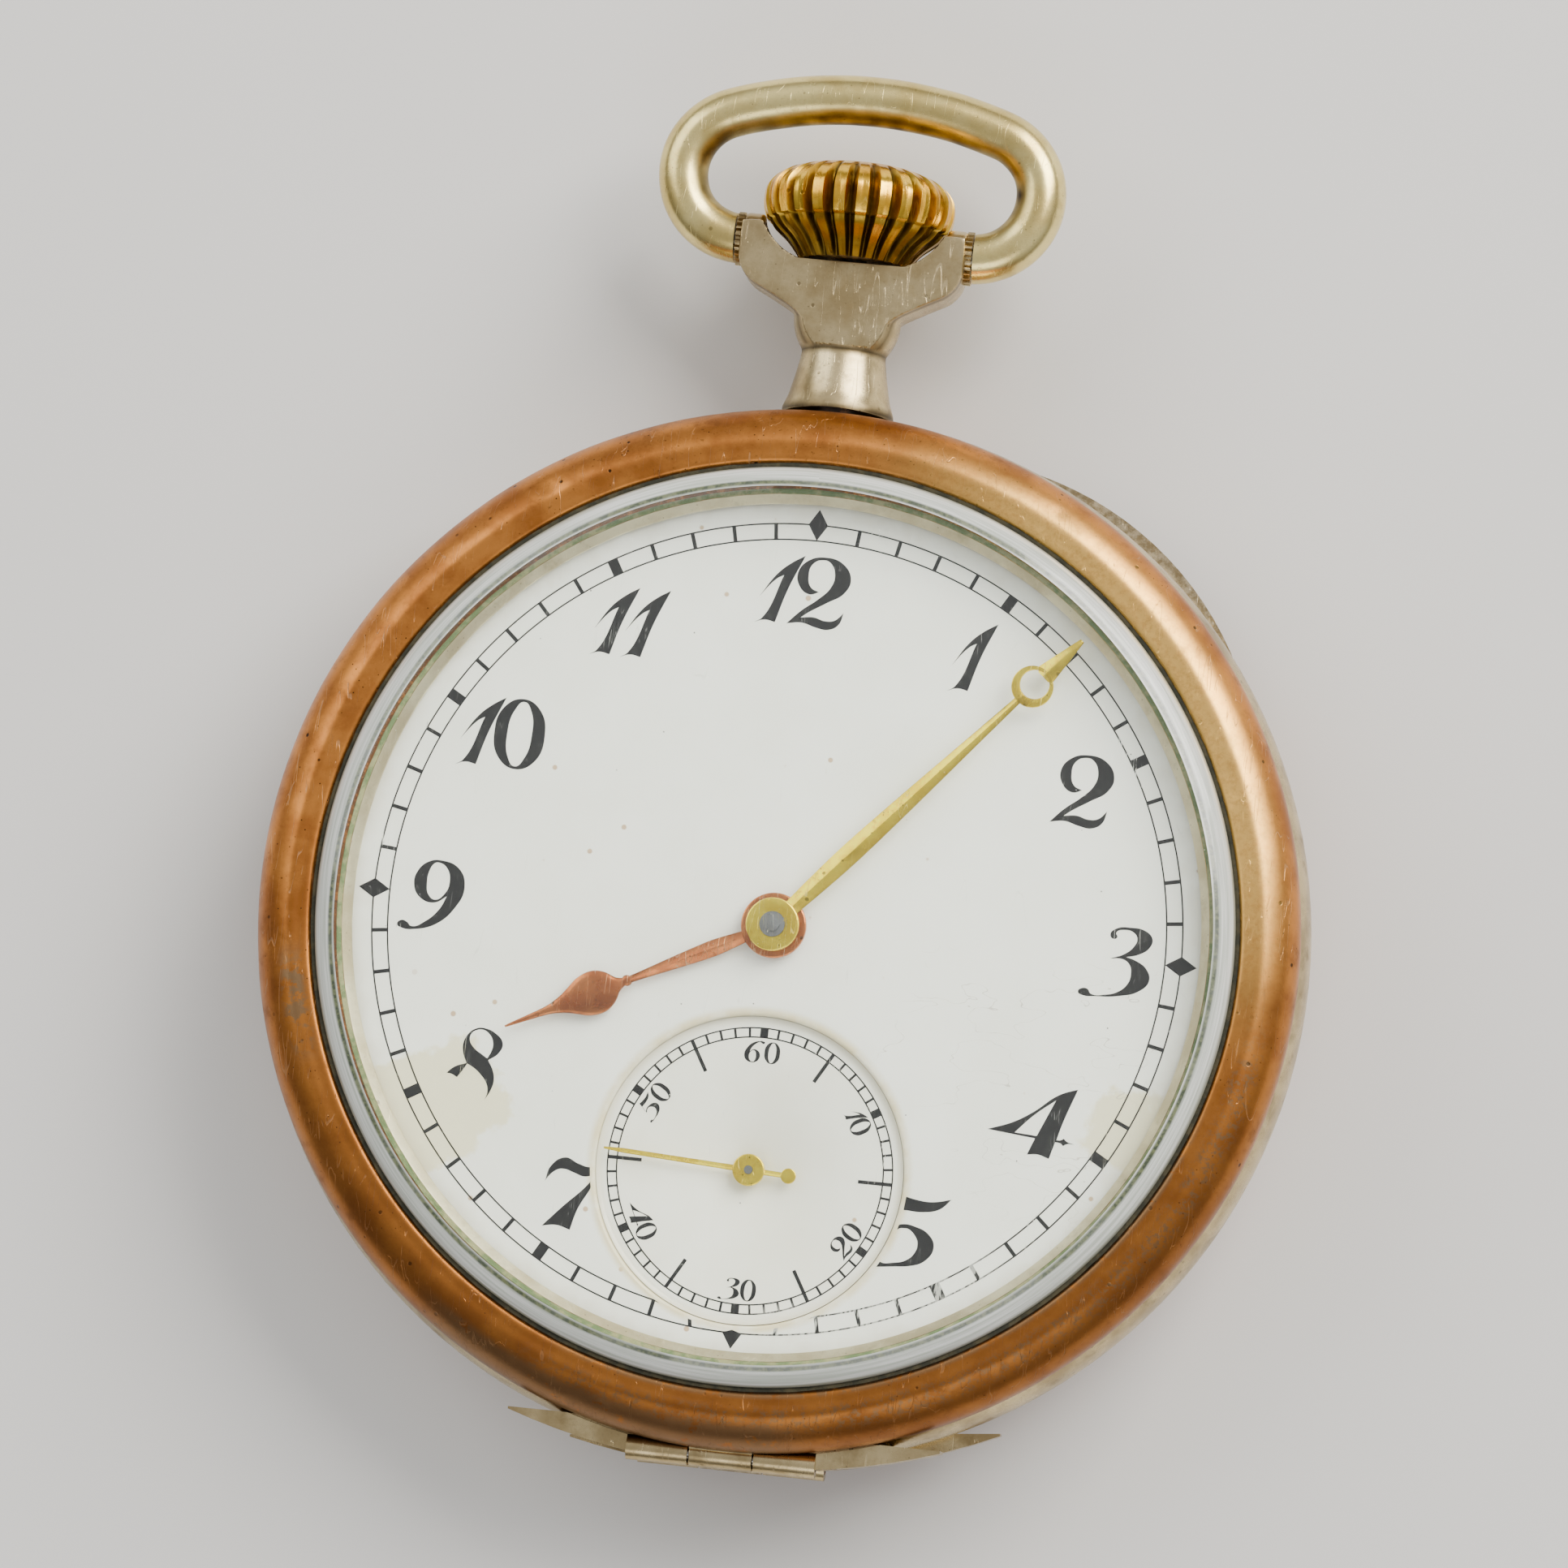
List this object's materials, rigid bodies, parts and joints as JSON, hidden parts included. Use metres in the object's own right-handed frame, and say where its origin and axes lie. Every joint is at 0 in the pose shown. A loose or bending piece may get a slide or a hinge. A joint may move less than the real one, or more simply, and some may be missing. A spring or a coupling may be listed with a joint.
{
  "type": "open face pocket watch",
  "caption": "Open face pocket watch with hinged bezel and back, sunk seconds dial, crown winding, swinging bow and a lever movement.",
  "frame": {"origin": "centre of the back cover's flat rest face", "axes": "+Z out of the dial, +Y towards the pendant at 12 o'clock, +X towards 3 o'clock"},
  "size_m": [0.0505, 0.0675, 0.0132],
  "materials": {
    "rose_gold": "worn rolled rose gold",
    "nickel_silver": "worn nickel alloy",
    "bow_nickel": "worn, slightly yellow nickel alloy",
    "gilt_crown": "worn gilt with dark grooves",
    "gilt_hand": "polished gilt",
    "rose_hand": "polished rose gilt",
    "enamel": "white enamel with black printing",
    "enamel_cream": "cream-white enamel with black printing",
    "mineral_glass": "clear, with a bevelled edge",
    "plate_gilt": "frosted gilt nickel",
    "train_brass": "polished brass",
    "steel": "polished steel",
    "blued_steel": "blued steel",
    "ruby": "polished ruby"
  },
  "bodies": {
    "case": {"middle_case": "nickel_silver", "pendant": "nickel_silver", "pendant_sleeve": "steel", "bow_bushings": "steel", "hinge_pins": "steel", "case_screws": "blued_steel", "dial": "enamel", "seconds_dial": "enamel_cream", "main_plate": "plate_gilt", "barrel_bridge": "plate_gilt", "train_bridge": "plate_gilt", "balance_cock": "plate_gilt", "pallet_bridge": "plate_gilt", "jewels": "ruby", "bridge_screws": "blued_steel", "click_spring": "steel", "regulator": "steel", "yoke_spring": "steel"},
    "bow": {"bow": "bow_nickel", "bow_pins": "steel"},
    "bezel": {"bezel": "rose_gold", "crystal": "mineral_glass"},
    "back_cover": {"back_cover": "rose_gold"},
    "cuvette": {"cuvette": "nickel_silver"},
    "center_arbor": {"center_wheel": "train_brass", "center_pinion": "steel", "cannon_pinion": "steel", "minute_hand": "gilt_hand"},
    "hour_wheel": {"hour_wheel": "train_brass", "hour_hand": "rose_hand"},
    "minute_wheel": {"minute_wheel": "train_brass"},
    "setting_wheel": {"setting_wheel": "steel"},
    "third_arbor": {"third_wheel": "train_brass", "third_pinion": "steel"},
    "fourth_arbor": {"fourth_wheel": "train_brass", "fourth_pinion": "steel", "seconds_hand": "gilt_hand"},
    "escape_arbor": {"escape_wheel": "train_brass", "escape_pinion": "steel"},
    "barrel": {"barrel_drum": "train_brass", "barrel_cover": "train_brass", "mainspring": "blued_steel"},
    "barrel_arbor": {"barrel_arbor": "steel", "ratchet_wheel": "steel", "ratchet_screw": "blued_steel"},
    "crown_wheel": {"crown_wheel": "steel"},
    "click": {"click": "steel"},
    "pallet_lever": {"pallet_fork": "steel", "pallet_stones": "ruby"},
    "balance": {"balance_wheel": "train_brass", "balance_screws": "train_brass", "balance_staff": "steel", "hairspring": "blued_steel"},
    "winding_pinion": {"winding_pinion": "steel"},
    "stem": {"winding_stem": "steel", "crown": "gilt_crown"},
    "clutch": {"sliding_pinion": "steel"},
    "setting_lever": {"setting_lever": "steel"},
    "yoke": {"yoke": "steel"}
  },
  "joints": [
    {"name": "bezel_hinge", "type": "hinge", "parent": "case", "child": "bezel", "pos_m": [0, -0.0251, 0.0086], "axis": [1, 0, 0], "range_deg": [0, 100]},
    {"name": "back_cover_hinge", "type": "hinge", "parent": "case", "child": "back_cover", "pos_m": [0, -0.0251, 0.0037], "axis": [-1, 0, 0], "range_deg": [0, 105]},
    {"name": "cuvette_hinge", "type": "hinge", "parent": "case", "child": "cuvette", "pos_m": [0, -0.023, 0.0032], "axis": [-1, 0, 0], "range_deg": [0, 95]},
    {"name": "bow_swing", "type": "hinge", "parent": "case", "child": "bow", "pos_m": [0, 0.0333, 0.0065], "axis": [1, 0, 0], "range_deg": [-120, 120]},
    {"name": "crown_turn", "type": "hinge", "parent": "case", "child": "winding_pinion", "pos_m": [0, 0.01405, 0.0065], "axis": [0, 1, 0], "continuous": true},
    {"name": "crown_pull", "type": "slide", "parent": "winding_pinion", "child": "stem", "axis": [0, 1, 0], "range_m": [0, 0.0008]},
    {"name": "clutch_shift", "type": "slide", "parent": "winding_pinion", "child": "clutch", "axis": [0, 1, 0], "range_m": [-0.0006, 0]},
    {"name": "crown_wheel_turn", "type": "hinge", "parent": "case", "child": "crown_wheel", "pos_m": [0, 0.0108, 0.0039], "axis": [0, 0, 1], "continuous": true},
    {"name": "ratchet_turn", "type": "hinge", "parent": "case", "child": "barrel_arbor", "pos_m": [0.00717, 0.00466, 0.0039], "axis": [0, 0, 1], "continuous": true},
    {"name": "setting_lever_turn", "type": "hinge", "parent": "case", "child": "setting_lever", "pos_m": [-0.0036, 0.0162, 0.0074], "axis": [0, 0, 1], "range_deg": [0, 12.7]},
    {"name": "yoke_turn", "type": "hinge", "parent": "case", "child": "yoke", "pos_m": [-0.005, 0.0106, 0.0065], "axis": [0, 0, 1], "range_deg": [-8.75, 0]},
    {"name": "click_turn", "type": "hinge", "parent": "case", "child": "click", "pos_m": [0.01475, 0.00572, 0.0039], "axis": [0, 0, 1], "range_deg": [0, 12], "stiffness_Nm_per_rad": 0.00002},
    {"name": "minute_turn", "type": "hinge", "parent": "case", "child": "center_arbor", "pos_m": [0, 0, 0.007], "axis": [0, 0, 1], "continuous": true},
    {"name": "hour_turn", "type": "hinge", "parent": "case", "child": "hour_wheel", "pos_m": [0, 0, 0.0086], "axis": [0, 0, 1], "continuous": true},
    {"name": "minute_wheel_turn", "type": "hinge", "parent": "case", "child": "minute_wheel", "pos_m": [0, 0.0036, 0.0082], "axis": [0, 0, 1], "continuous": true},
    {"name": "setting_wheel_turn", "type": "hinge", "parent": "case", "child": "setting_wheel", "pos_m": [0, 0.0081, 0.0082], "axis": [0, 0, 1], "continuous": true},
    {"name": "third_turn", "type": "hinge", "parent": "case", "child": "third_arbor", "pos_m": [0.00287, -0.00685, 0.006], "axis": [0, 0, 1], "continuous": true},
    {"name": "fourth_turn", "type": "hinge", "parent": "case", "child": "fourth_arbor", "pos_m": [0, -0.01157, 0.006], "axis": [0, 0, 1], "continuous": true},
    {"name": "escape_turn", "type": "hinge", "parent": "case", "child": "escape_arbor", "pos_m": [-0.00475, -0.00984, 0.006], "axis": [0, 0, 1], "continuous": true},
    {"name": "barrel_turn", "type": "hinge", "parent": "case", "child": "barrel", "pos_m": [0.00717, 0.00466, 0.006], "axis": [0, 0, 1], "continuous": true},
    {"name": "pallet_swing", "type": "hinge", "parent": "case", "child": "pallet_lever", "pos_m": [-0.00807, -0.00706, 0.0068], "axis": [0, 0, 1], "range_deg": [-6, 6]},
    {"name": "balance_swing", "type": "hinge", "parent": "case", "child": "balance", "pos_m": [-0.0119, -0.00384, 0.0054], "axis": [0, 0, 1], "range_deg": [-270, 270], "stiffness_Nm_per_rad": 0.0000025, "deforming": ["hairspring"]}
  ],
  "couplings": [
    {"joint": "cuvette_hinge", "follows": "back_cover_hinge", "ratio": 0.9},
    {"joint": "clutch_shift", "follows": "crown_pull", "ratio": -0.75},
    {"joint": "setting_lever_turn", "follows": "crown_pull", "rad_per_m": 276.6},
    {"joint": "yoke_turn", "follows": "crown_pull", "rad_per_m": -189.8},
    {"joint": "crown_wheel_turn", "follows": "crown_turn", "ratio": 0.61538},
    {"joint": "ratchet_turn", "follows": "crown_turn", "ratio": -0.30769},
    {"joint": "hour_turn", "follows": "minute_turn", "ratio": 0.083333},
    {"joint": "minute_wheel_turn", "follows": "minute_turn", "ratio": -0.33333},
    {"joint": "setting_wheel_turn", "follows": "minute_turn", "ratio": 0.5},
    {"joint": "third_turn", "follows": "minute_turn", "ratio": -8},
    {"joint": "fourth_turn", "follows": "minute_turn", "ratio": 60},
    {"joint": "escape_turn", "follows": "minute_turn", "ratio": -600},
    {"joint": "barrel_turn", "follows": "minute_turn", "ratio": -0.125}
  ]
}
